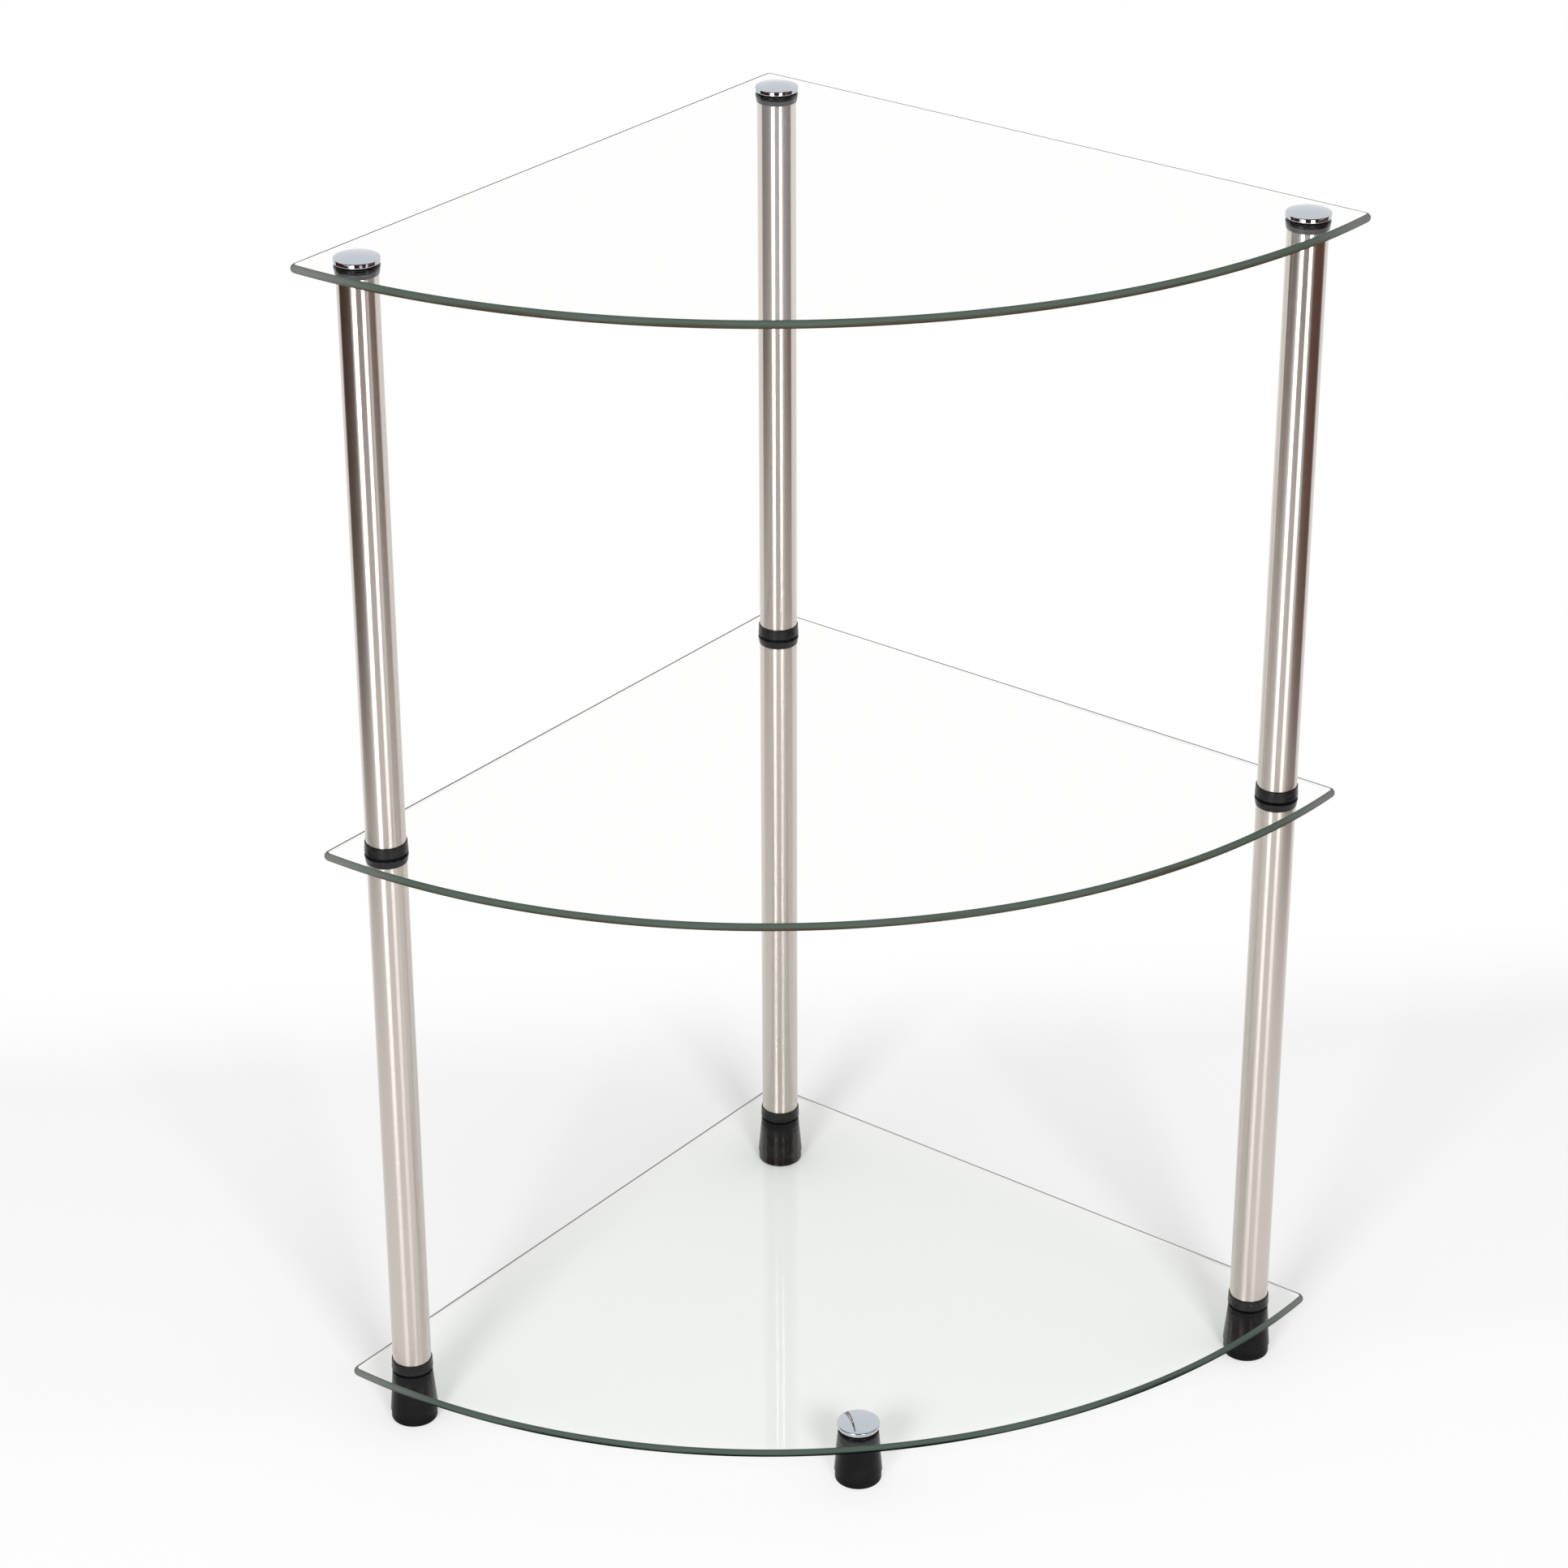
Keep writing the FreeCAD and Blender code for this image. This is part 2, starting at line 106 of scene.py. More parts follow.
class ShelfGlassSettings(bpy.types.PropertyGroup):
    """Sizes and colours of the glass shelves."""

    side: FloatProperty(
        name="Side",
        description="Length of a straight edge, which is also the radius of the round front",
        default=450 * MM,
        unit="LENGTH",
    )
    tip_round: FloatProperty(
        name="Tip Round",
        description="Radius where a straight edge meets the round front",
        default=5 * MM,
        unit="LENGTH",
    )
    corner_round: FloatProperty(
        name="Corner Round",
        description="Radius of the square rear corner",
        default=3 * MM,
        unit="LENGTH",
    )
    pencil_round: FloatProperty(
        name="Pencil Round",
        description="Radius of the polished outer edge, above and below",
        default=2.4 * MM,
        unit="LENGTH",
    )
    edge_lip: FloatProperty(
        name="Edge Lip",
        description="Width of the strip on top that still shows the colour of the round edge",
        default=0.3 * MM,
        unit="LENGTH",
    )
    arris: FloatProperty(
        name="Arris",
        description="Width of the bevel ground on the edges of each hole",
        default=0.4 * MM,
        unit="LENGTH",
    )
    hole: FloatProperty(
        name="Hole",
        description="Diameter of the holes drilled for the posts",
        default=12 * MM,
        unit="LENGTH",
    )
    air_film: FloatProperty(
        name="Air Film",
        description="Gap between the glass and what is clamped on it",
        default=0.03 * MM,
        unit="LENGTH",
    )
    front_steps: IntProperty(
        name="Front Steps", description="Facets along the round front", default=200, min=24
    )
    round_steps: IntProperty(
        name="Round Steps", description="Facets along each small round", default=12, min=3
    )
    edge_steps: IntProperty(
        name="Edge Steps", description="Facets over each half of the round edge", default=10, min=2
    )
    hole_steps: IntProperty(
        name="Hole Steps", description="Facets round each hole", default=48, min=12
    )
    tint: FloatVectorProperty(
        name="Tint",
        description="Share of each colour that passes one face of the glass",
        default=(0.993, 0.998, 0.99, 1),
        size=4,
        subtype="COLOR",
    )
    film_tint: FloatVectorProperty(
        name="Film Tint",
        description="The same where the glass has been handled",
        default=(0.989, 0.994, 0.986, 1),
        size=4,
        subtype="COLOR",
    )
    refraction: FloatProperty(name="Refraction", description="Index of refraction", default=1.52)
    polariser: FloatProperty(
        name="Polariser",
        description="Share of the glass's mirroring that a filter on the camera takes away",
        default=0.6,
        subtype="FACTOR",
    )
    shade: FloatVectorProperty(
        name="Shade",
        description="Share of the lamps' light that passes one face of the glass",
        default=(0.97, 0.978, 0.97, 1),
        size=4,
        subtype="COLOR",
    )
    # Grey-green of the glass edge, with painted light that makes its upper half paler.
    edge_lit_colour: FloatVectorProperty(
        name="Edge Colour",
        description="Grey-green of the upper half of the polished edge",
        default=(0.074, 0.099, 0.083, 1),
        size=4,
        subtype="COLOR",
    )
    # Painted shade that makes the lower half of the polished edge darker.
    edge_shaded_colour: FloatVectorProperty(
        name="Edge Dark Colour",
        description="Darker lower half of the polished edge",
        default=(0.056, 0.043, 0.028, 1),
        size=4,
        subtype="COLOR",
    )
    # Painted light that makes the edge paler towards each tip.
    edge_tip_light_colour: FloatVectorProperty(
        name="Edge Tip Colour",
        description="Paler edge at the tips, where little glass lies behind it",
        default=(0.16, 0.172, 0.158, 1),
        size=4,
        subtype="COLOR",
    )
    tip_light_fade: FloatProperty(
        name="Tip Fade",
        description="Length over which the edge turns paler towards a tip",
        default=55 * MM,
        unit="LENGTH",
    )
    edge_streaks: FloatVectorProperty(
        name="Edge Streaks", description="Streaks per metre along each axis", default=(14, 14, 300)
    )
    # Where the painted shade of the lower half turns into the painted light of the upper half.
    edge_blend: FloatVectorProperty(
        name="Edge Blend",
        description="Shares of the thickness between which the dark half turns into the upper one",
        default=(0.2, 0.8),
        size=2,
    )
    # Where the upper half turns into the painted shade line along the top.
    lip_blend: FloatVectorProperty(
        name="Lip Blend",
        description="Shares of the thickness between which the upper half turns into the lip",
        default=(0.8, 0.9),
        size=2,
    )
    # Painted shade on the lower half of the bottom shelf's edge, near the floor.
    edge_floor_shade_colour: FloatVectorProperty(
        name="Edge Floor Colour",
        description="Darker lower half of the bottom shelf's edge, near the floor",
        default=(0, 0.003, 0.002, 1),
        size=4,
        subtype="COLOR",
    )
    # Painted shade line along the top of the straight edges.
    lip_shade_colour: FloatVectorProperty(
        name="Lip Colour",
        description="Dark brown along the top of the top shelf's two straight edges",
        default=(0.045, 0.014, 0.003, 1),
        size=4,
        subtype="COLOR",
    )
    # The same painted shade line, paler grey on the bottom shelf.
    lip_floor_shade_colour: FloatVectorProperty(
        name="Lip Floor Colour",
        description="Grey along the top of the bottom shelf's two straight edges, near the floor",
        default=(0.3, 0.3, 0.28, 1),
        size=4,
        subtype="COLOR",
    )


class ShelfPostSettings(bpy.types.PropertyGroup):
    """Sizes and finish of the steel tubes."""

    wall: FloatProperty(
        name="Wall", description="Thickness of the tube wall", default=1 * MM, unit="LENGTH"
    )
    deburr: FloatProperty(
        name="Deburr",
        description="Small bevel at the outer edge of each tube end",
        default=0.15 * MM,
        unit="LENGTH",
    )
    steps: IntProperty(name="Steps", description="Facets round each tube", default=144, min=24)
    colour: FloatVectorProperty(
        name="Steel Colour",
        description="Colour of the brushed stainless steel",
        default=(0.648, 0.592, 0.548, 1),
        size=4,
        subtype="COLOR",
    )
    dark_colour: FloatVectorProperty(
        name="Steel Dark Colour",
        description="Colour in the brush lines",
        default=(0.627, 0.572, 0.528, 1),
        size=4,
        subtype="COLOR",
    )
    anisotropy: FloatProperty(
        name="Anisotropy", description="How far the brush lines stretch a reflection", default=1.0
    )
    brush_turn: FloatProperty(
        name="Brush Turn",
        description="Turn of the stretched reflection from round the tube, in whole turns",
        default=0.25,
    )
    brush_lines: FloatVectorProperty(
        name="Brush Lines", description="Brush lines per metre along each axis", default=(25, 25, 2600)
    )
    roughness: FloatVectorProperty(
        name="Roughness",
        description="Roughness of the smoothest and the coarsest brush lines",
        default=(0.2, 0.22),
        size=2,
    )


class ShelfFittingSettings(bpy.types.PropertyGroup):
    """Finish of the collars, feet, pads, caps and hidden fasteners."""

    plastic_colour: FloatVectorProperty(
        name="Plastic Colour",
        description="Black of the moulded collars and feet",
        default=(0.006, 0.0055, 0.006, 1),
        size=4,
        subtype="COLOR",
    )
    plastic_pale_colour: FloatVectorProperty(
        name="Plastic Pale Colour",
        description="Greyer bloom on the black plastic",
        default=(0.011, 0.0105, 0.011, 1),
        size=4,
        subtype="COLOR",
    )
    rubber_colour: FloatVectorProperty(
        name="Rubber Colour",
        description="Black of the foot pads and cap washers",
        default=(0.006, 0.0055, 0.006, 1),
        size=4,
        subtype="COLOR",
    )
    rubber_pale_colour: FloatVectorProperty(
        name="Rubber Pale Colour",
        description="Dusty bloom on the rubber",
        default=(0.01, 0.0095, 0.01, 1),
        size=4,
        subtype="COLOR",
    )
    collar_gloss: FloatProperty(
        name="Collar Gloss", description="Specular level of the satin collars", default=0.3
    )
    foot_gloss: FloatProperty(
        name="Foot Gloss", description="Specular level of the duller feet", default=0.1
    )
    rubber_gloss: FloatProperty(
        name="Rubber Gloss", description="Specular level of the rubber", default=0.05
    )
    plastic_roughness: FloatVectorProperty(
        name="Plastic Roughness", description="From clean to bloomed", default=(0.25, 0.29), size=2
    )
    rubber_roughness: FloatVectorProperty(
        name="Rubber Roughness", description="From clean to dusty", default=(0.36, 0.42), size=2
    )
    chrome_roughness: FloatVectorProperty(
        name="Chrome Roughness", description="From clean to handled", default=(0.03, 0.06), size=2
    )
    zinc_roughness: FloatVectorProperty(
        name="Zinc Roughness", description="From bright to spangled", default=(0.25, 0.45), size=2
    )
    brass_roughness: FloatVectorProperty(
        name="Brass Roughness", description="From turned to tarnished", default=(0.2, 0.4), size=2
    )
    plastic_grain: FloatProperty(
        name="Plastic Grain", description="Depth of the plastic's grain", default=0.003 * MM, unit="LENGTH"
    )
    rubber_grain: FloatProperty(
        name="Rubber Grain", description="Depth of the rubber's grain", default=0.005 * MM, unit="LENGTH"
    )
    chrome_colour: FloatVectorProperty(
        name="Chrome Colour",
        description="Colour of the polished chrome caps",
        default=(0.53, 0.565, 0.615, 1),
        size=4,
        subtype="COLOR",
    )
    zinc_colour: FloatVectorProperty(
        name="Zinc Colour",
        description="Colour of the zinc-plated studs",
        default=(0.5, 0.52, 0.55, 1),
        size=4,
        subtype="COLOR",
    )
    zinc_dark_colour: FloatVectorProperty(
        name="Zinc Dark Colour",
        description="Darker spangle in the zinc plating",
        default=(0.34, 0.36, 0.4, 1),
        size=4,
        subtype="COLOR",
    )
    brass_colour: FloatVectorProperty(
        name="Brass Colour",
        description="Colour of the threaded inserts",
        default=(0.72, 0.5, 0.2, 1),
        size=4,
        subtype="COLOR",
    )
    brass_dark_colour: FloatVectorProperty(
        name="Brass Dark Colour",
        description="Tarnish on the threaded inserts",
        default=(0.45, 0.28, 0.1, 1),
        size=4,
        subtype="COLOR",
    )


class ShelfStageSettings(bpy.types.PropertyGroup):
    """Floor, lamps, dark cards and camera of the studio."""

    floor_radius: FloatProperty(
        name="Floor Radius", description="Reach of the floor", default=12, unit="LENGTH"
    )
    floor_colour: FloatVectorProperty(
        name="Floor Colour",
        description="Colour of the paper floor",
        default=(0.95, 0.95, 0.95, 1),
        size=4,
        subtype="COLOR",
    )
    back_fade: FloatVectorProperty(
        name="Back Fade",
        description="Places behind the shelf between which the paper turns white",
        default=(0.25, 0.49),
        size=2,
        unit="LENGTH",
    )
    back_slant: FloatProperty(
        name="Back Slant",
        description="How much nearer the paper turns white for each metre to the right",
        default=0.04,
    )
    # Painted light on the paper in front of the shelf: the round where it stops, where it sets in and how
    # strong it is.
    front_middle: FloatVectorProperty(
        name="Front Middle",
        description="Middle of the round that is paler in front of the shelf",
        default=(0.008, 0.284, 0),
        subtype="TRANSLATION",
    )
    front_fade: FloatVectorProperty(
        name="Front Fade",
        description="Distances from that middle between which the paper turns paler",
        default=(0.44, 0.48),
        size=2,
        unit="LENGTH",
    )
    front_line: FloatVectorProperty(
        name="Front Line",
        description="Places between which the paler front sets in, from beside to before the shelf",
        default=(0, -0.15),
        size=2,
        unit="LENGTH",
    )
    front_light_share: FloatProperty(
        name="Front White", description="Share of white in front", default=0.6, subtype="FACTOR"
    )
    # Painted light on the paper beside the shelf.
    side_fade: FloatVectorProperty(
        name="Side Fade",
        description="Distances from the shelf's middle between which the paper turns a little paler",
        default=(0.25, 0.45),
        size=2,
        unit="LENGTH",
    )
    side_light_share: FloatProperty(
        name="Side White", description="Share of white beside the shelf", default=0.25, subtype="FACTOR"
    )
    far_fade: FloatVectorProperty(
        name="Far Fade",
        description="Distances from the shelf's middle between which the paper runs out to white",
        default=(1.0, 1.8),
        size=2,
        unit="LENGTH",
    )
    lamp_power: FloatProperty(
        name="Lamp Power", description="Power of each square lamp", default=88, unit="POWER"
    )
    lamp_size: FloatProperty(
        name="Lamp Size", description="Side of each square lamp", default=1.12, unit="LENGTH"
    )
    left_lamp: FloatVectorProperty(
        name="Left Lamp",
        description="Place of the left square lamp",
        default=(-2.32, -3.92, 2.8),
        subtype="TRANSLATION",
    )
    right_lamp: FloatVectorProperty(
        name="Right Lamp",
        description="Place of the right square lamp",
        default=(0.8, -4.27, 2.8),
        subtype="TRANSLATION",
    )
    left_dish_power: FloatProperty(
        name="Left Dish Power", description="Power of the left round lamp", default=15, unit="POWER"
    )
    right_dish_power: FloatProperty(
        name="Right Dish Power", description="Power of the right round lamp", default=12, unit="POWER"
    )
    dish_size: FloatProperty(
        name="Dish Size", description="Diameter of each round lamp", default=0.72, unit="LENGTH"
    )
    left_dish: FloatVectorProperty(
        name="Left Dish",
        description="Place of the left round lamp, which only shows mirrored",
        default=(-1.12, -1.82, 0.2),
        subtype="TRANSLATION",
    )
    right_dish: FloatVectorProperty(
        name="Right Dish",
        description="Place of the right round lamp, which only shows mirrored",
        default=(0.6, -2.19, 0.15),
        subtype="TRANSLATION",
    )
    ambient: FloatProperty(
        name="Ambient", description="Light of the room on every surface", default=0.65
    )
    card_colour: FloatVectorProperty(
        name="Card Colour",
        description="Colour of the dark room, which only shows mirrored",
        default=(0.06, 0.022, 0.013, 1),
        size=4,
        subtype="COLOR",
    )
    right_card_colour: FloatVectorProperty(
        name="Right Card Colour",
        description="Colour of the right card, which stands closer and lighter",
        default=(0.13, 0.065, 0.05, 1),
        size=4,
        subtype="COLOR",
    )
    card_height: FloatProperty(
        name="Card Height", description="Height of the dark side cards", default=1.4, unit="LENGTH"
    )
    left_card_front: FloatVectorProperty(
        name="Left Card Front",
        description="Foot of the front end of the left dark card",
        default=(-1.2, -1.0, 0),
        subtype="TRANSLATION",
    )
    left_card_back: FloatVectorProperty(
        name="Left Card Back",
        description="Foot of the back end of the left dark card",
        default=(-1.2, 0.5, 0),
        subtype="TRANSLATION",
    )
    right_card_front: FloatVectorProperty(
        name="Right Card Front",
        description="Foot of the front end of the right dark card",
        default=(0.81, -0.94, 0),
        subtype="TRANSLATION",
    )
    right_card_back: FloatVectorProperty(
        name="Right Card Back",
        description="Foot of the back end of the right dark card",
        default=(1.1, 0.05, 0),
        subtype="TRANSLATION",
    )
    paper_front: FloatProperty(
        name="Paper Front",
        description="Place in front of the shelf where the pale paper ends",
        default=-1.75,
        unit="LENGTH",
    )
    room_front: FloatProperty(
        name="Room Front", description="Place of the dark front wall", default=-6.0, unit="LENGTH"
    )
    room_height: FloatProperty(
        name="Room Height", description="Height of the dark front wall", default=5.0, unit="LENGTH"
    )
    room_width: FloatProperty(
        name="Room Width", description="Half the width of the dark room", default=5.0, unit="LENGTH"
    )
    camera_place: FloatVectorProperty(
        name="Camera Place",
        description="Place of the camera",
        default=(-0.33664, -2.42397, 1.64748),
        subtype="TRANSLATION",
    )
    camera_yaw: FloatProperty(
        name="Camera Yaw",
        description="Turn of the camera about the vertical",
        default=math.radians(-7.4289),
        subtype="ANGLE",
    )
    camera_pitch: FloatProperty(
        name="Camera Pitch",
        description="Tilt of the camera above the level",
        default=math.radians(-27.061),
        subtype="ANGLE",
    )
    camera_roll: FloatProperty(
        name="Camera Roll",
        description="Turn of the camera about its own axis",
        default=math.radians(-0.1619),
        subtype="ANGLE",
    )
    focal_length: FloatProperty(
        name="Focal Length", description="Focal length on a 36 mm sensor", default=98.45
    )


# Shader node helpers


def new_material(name):
    """A material with one Principled shader, and the parts of its tree."""
    material = bpy.data.materials.new(name)
    material.use_nodes = True
    tree = material.node_tree
    tree.nodes.clear()
    output = tree.nodes.new("ShaderNodeOutputMaterial")
    shader = tree.nodes.new("ShaderNodeBsdfPrincipled")
    tree.links.new(shader.outputs["BSDF"], output.inputs["Surface"])
    return material, tree, shader


def add_node(tree, kind, **values):
    """A node of the given kind with its properties set."""
    node = tree.nodes.new("ShaderNode" + kind)
    for name, value in values.items():
        setattr(node, name, value)
    return node


def maths(tree, operation, first, second):
    """A Math node whose inputs are numbers or sockets, and its output."""
    node = add_node(tree, "Math", operation=operation)
    for socket, value in zip(node.inputs, (first, second)):
        if isinstance(value, bpy.types.NodeSocket):
            tree.links.new(value, socket)
        else:
            socket.default_value = value
    return node.outputs["Value"]


def stretched_noise(tree, stretch, detail, roughness):
    """Noise in metres of the object, stretched by its frequency along each axis."""
    place = add_node(tree, "TexCoord")
    mapping = add_node(tree, "Mapping")
    mapping.inputs["Scale"].default_value = stretch
    noise = add_node(tree, "TexNoise")
    noise.inputs["Scale"].default_value = 1
    noise.inputs["Detail"].default_value = detail
    noise.inputs["Roughness"].default_value = roughness
    tree.links.new(place.outputs["Object"], mapping.inputs["Vector"])
    tree.links.new(mapping.outputs["Vector"], noise.inputs["Vector"])
    return noise.outputs["Fac"]


def mapped(tree, value, from_low, from_high, to_low, to_high):
    """A value carried from one range to another, kept inside it."""
    node = add_node(tree, "MapRange", interpolation_type="SMOOTHSTEP")
    for name, number in (
        ("From Min", from_low),
        ("From Max", from_high),
        ("To Min", to_low),
        ("To Max", to_high),
    ):
        node.inputs[name].default_value = number
    tree.links.new(value, node.inputs["Value"])
    return node.outputs["Result"]


def blend_colours(tree, mask, first, second):
    """A colour between two, by a mask. Each is a colour or a socket."""
    node = add_node(tree, "Mix", data_type="RGBA")
    tree.links.new(mask, node.inputs["Factor"])
    for socket, colour in ((node.inputs[6], first), (node.inputs[7], second)):
        if isinstance(colour, bpy.types.NodeSocket):
            tree.links.new(colour, socket)
        else:
            socket.default_value = colour
    return node.outputs[2]


def switched(tree, switch, usual, other):
    """A shader that is the usual one where the switch is zero and the other where it is one."""
    mix = add_node(tree, "MixShader")
    tree.links.new(switch, mix.inputs["Fac"])
    tree.links.new(usual, mix.inputs[1])
    tree.links.new(other, mix.inputs[2])
    return mix.outputs["Shader"]


def add_bump(tree, shader, height, depth):
    """Feeds a height from 0 to 1, of the given depth in metres, to the shader's normal."""
    bump = add_node(tree, "Bump")
    bump.inputs["Strength"].default_value = 1
    bump.inputs["Distance"].default_value = depth
    tree.links.new(height, bump.inputs["Height"])
    tree.links.new(bump.outputs["Normal"], shader.inputs["Normal"])


def film_group():
    """Faint film of handling: soft clouds with fine specks, as a mask from 0 to 1."""
    name = "Handling Film"
    if name in bpy.data.node_groups:
        return bpy.data.node_groups[name]
    group = bpy.data.node_groups.new(name, "ShaderNodeTree")
    clouds = group.interface.new_socket("Cloud Scale", in_out="INPUT", socket_type="NodeSocketFloat")
    clouds.default_value = 30
    specks = group.interface.new_socket("Speck Scale", in_out="INPUT", socket_type="NodeSocketFloat")
    specks.default_value = 900
    group.interface.new_socket("Mask", in_out="OUTPUT", socket_type="NodeSocketFloat")
    start = group.nodes.new("NodeGroupInput")
    end = group.nodes.new("NodeGroupOutput")
    place = add_node(group, "TexCoord")
    layers = []
    for scale_name, detail, faintest, fullest, share in (
        ("Cloud Scale", 4, 0.38, 0.68, 0.8),
        ("Speck Scale", 2, 0.6, 0.75, 0.35),
    ):
        noise = add_node(group, "TexNoise")
        noise.inputs["Detail"].default_value = detail
        group.links.new(place.outputs["Object"], noise.inputs["Vector"])
        group.links.new(start.outputs[scale_name], noise.inputs["Scale"])
        layers.append(mapped(group, noise.outputs["Fac"], faintest, fullest, 0, share))
    total = maths(group, "ADD", *layers)
    group.links.new(maths(group, "MINIMUM", total, 1), end.inputs["Mask"])
    return group


def grain_group():
    """Fine even grain of a moulded surface, as a height from 0 to 1."""
    name = "Moulded Grain"
    if name in bpy.data.node_groups:
        return bpy.data.node_groups[name]
    group = bpy.data.node_groups.new(name, "ShaderNodeTree")
    scale = group.interface.new_socket("Grain Scale", in_out="INPUT", socket_type="NodeSocketFloat")
    scale.default_value = 1800
    group.interface.new_socket("Height", in_out="OUTPUT", socket_type="NodeSocketFloat")
    start = group.nodes.new("NodeGroupInput")
    end = group.nodes.new("NodeGroupOutput")
    place = add_node(group, "TexCoord")
    noise = add_node(group, "TexNoise")
    noise.inputs["Detail"].default_value = 3
    group.links.new(place.outputs["Object"], noise.inputs["Vector"])
    group.links.new(start.outputs["Grain Scale"], noise.inputs["Scale"])
    group.links.new(noise.outputs["Fac"], end.inputs["Height"])
    return group


def group_node(tree, group, output, **inputs):
    """A shared group placed in a material with its own values, and the named output."""
    node = add_node(tree, "Group", node_tree=group)
    for name, value in inputs.items():
        node.inputs[name.replace("_", " ").title()].default_value = value
    return node.outputs[output]


# Materials


def clear_glass(settings):
    """Clear float glass, faintly green, that lets the lamps' light through and mirrors weakly."""
    material, tree, shader = new_material("clear_float_glass")
    shader.inputs["Transmission Weight"].default_value = 1
    shader.inputs["Roughness"].default_value = 0
    shader.inputs["IOR"].default_value = settings.refraction
    film = group_node(tree, film_group(), "Mask", cloud_scale=14, speck_scale=500)
    tree.links.new(
        blend_colours(tree, film, settings.tint, settings.film_tint), shader.inputs["Base Color"]
    )
    bending = add_node(tree, "BsdfRefraction")
    bending.inputs["Color"].default_value = settings.tint
    bending.inputs["Roughness"].default_value = 0
    bending.inputs["IOR"].default_value = settings.refraction
    filtered = add_node(tree, "MixShader")
    filtered.inputs["Fac"].default_value = settings.polariser
    tree.links.new(shader.outputs["BSDF"], filtered.inputs[1])
    tree.links.new(bending.outputs["BSDF"], filtered.inputs[2])
    passing = add_node(tree, "BsdfTransparent")
    passing.inputs["Color"].default_value = settings.shade
    path = add_node(tree, "LightPath")
    surface = shader.outputs["BSDF"]
    for ray, replacement in (
        ("Is Camera Ray", filtered.outputs["Shader"]),
        ("Is Transmission Ray", filtered.outputs["Shader"]),
        ("Is Shadow Ray", passing.outputs["BSDF"]),
        ("Is Diffuse Ray", passing.outputs["BSDF"]),
    ):
        surface = switched(tree, path.outputs[ray], surface, replacement)
    tree.links.new(surface, tree.nodes["Material Output"].inputs["Surface"])
    return material


def polished_edge(settings, low, high, pitch):
    """Round edge of the glass: grey-green, with painted light on its upper half and painted shade on its
    lower half, darker still near the floor, painted light towards the tips, a painted shade line along the
    top behind, and clear from inside.
    """
    material, tree, shader = new_material("polished_glass_edge")
    thickness = high.z - low.z
    place = add_node(tree, "TexCoord")
    axes = add_node(tree, "SeparateXYZ")
    tree.links.new(place.outputs["Object"], axes.inputs["Vector"])
    height = maths(tree, "FLOORED_MODULO", maths(tree, "SUBTRACT", axes.outputs["Z"], low.z), pitch)
    share = maths(tree, "DIVIDE", height, thickness)
    streaks = stretched_noise(tree, settings.edge_streaks, detail=3, roughness=0.5)
    uneven = maths(tree, "ADD", share, maths(tree, "SUBTRACT", streaks, 0.5))
    # Painted shade on the lower half turns into painted light on the upper half, along uneven streaks.
    upper = mapped(tree, uneven, *settings.edge_blend, 0, 1)
    # Painted shade, darker still on the bottom shelf's edge near the floor.
    clear_of_floor_shade = mapped(tree, axes.outputs["Z"], high.z, low.z + pitch, 0, 1)
    lower = blend_colours(tree, clear_of_floor_shade, settings.edge_floor_shade_colour, settings.edge_shaded_colour)
    along = blend_colours(tree, upper, lower, settings.edge_lit_colour)
    sideways = maths(tree, "ABSOLUTE", axes.outputs["X"], 0)
    # Painted light: the edge turns paler towards each tip.
    tip_light_mask = mapped(tree, sideways, high.x - settings.tip_light_fade, high.x, 0, 1)
    front = blend_colours(tree, tip_light_mask, along, settings.edge_tip_light_colour)
    # Painted shade line along the top of the straight edges behind, paler grey on the bottom shelf.
    rising = mapped(tree, axes.outputs["Z"], high.z, low.z + 2 * pitch, 0, 1)
    lip = blend_colours(tree, rising, settings.lip_floor_shade_colour, settings.lip_shade_colour)
    tip_line = low.y + settings.side - math.sqrt(0.5) * settings.side
    behind = mapped(tree, axes.outputs["Y"], tip_line, tip_line + 2 * settings.tip_round, 0, 1)
    on_top = mapped(tree, share, *settings.lip_blend, 0, 1)
    lip_shade_mask = maths(tree, "MULTIPLY", behind, on_top)
    tree.links.new(blend_colours(tree, lip_shade_mask, front, lip), shader.inputs["Base Color"])
    shader.inputs["Specular IOR Level"].default_value = 0
    clear = add_node(tree, "BsdfTransparent")
    side = add_node(tree, "NewGeometry")
    path = add_node(tree, "LightPath")
    surface = shader.outputs["BSDF"]
    for switch in (side.outputs["Backfacing"], path.outputs["Is Shadow Ray"]):
        surface = switched(tree, switch, surface, clear.outputs["BSDF"])
    tree.links.new(surface, tree.nodes["Material Output"].inputs["Surface"])
    return material


def brushed_steel(settings):
    """Stainless steel brushed round the tube, so that lamps draw out along it."""
    material, tree, shader = new_material("brushed_stainless_steel")
    lines = stretched_noise(tree, settings.brush_lines, detail=4, roughness=0.6)
    mask = mapped(tree, lines, *LINE_CONTRAST, 0, 1)
    tree.links.new(
        blend_colours(tree, mask, settings.dark_colour, settings.colour), shader.inputs["Base Color"]
    )
    tree.links.new(mapped(tree, lines, *LINE_CONTRAST, *settings.roughness), shader.inputs["Roughness"])
    shader.inputs["Metallic"].default_value = 1
    shader.inputs["Anisotropic"].default_value = settings.anisotropy
    shader.inputs["Anisotropic Rotation"].default_value = settings.brush_turn
    tangent = add_node(tree, "Tangent", direction_type="RADIAL", axis="Z")
    tree.links.new(tangent.outputs["Tangent"], shader.inputs["Tangent"])
    return material


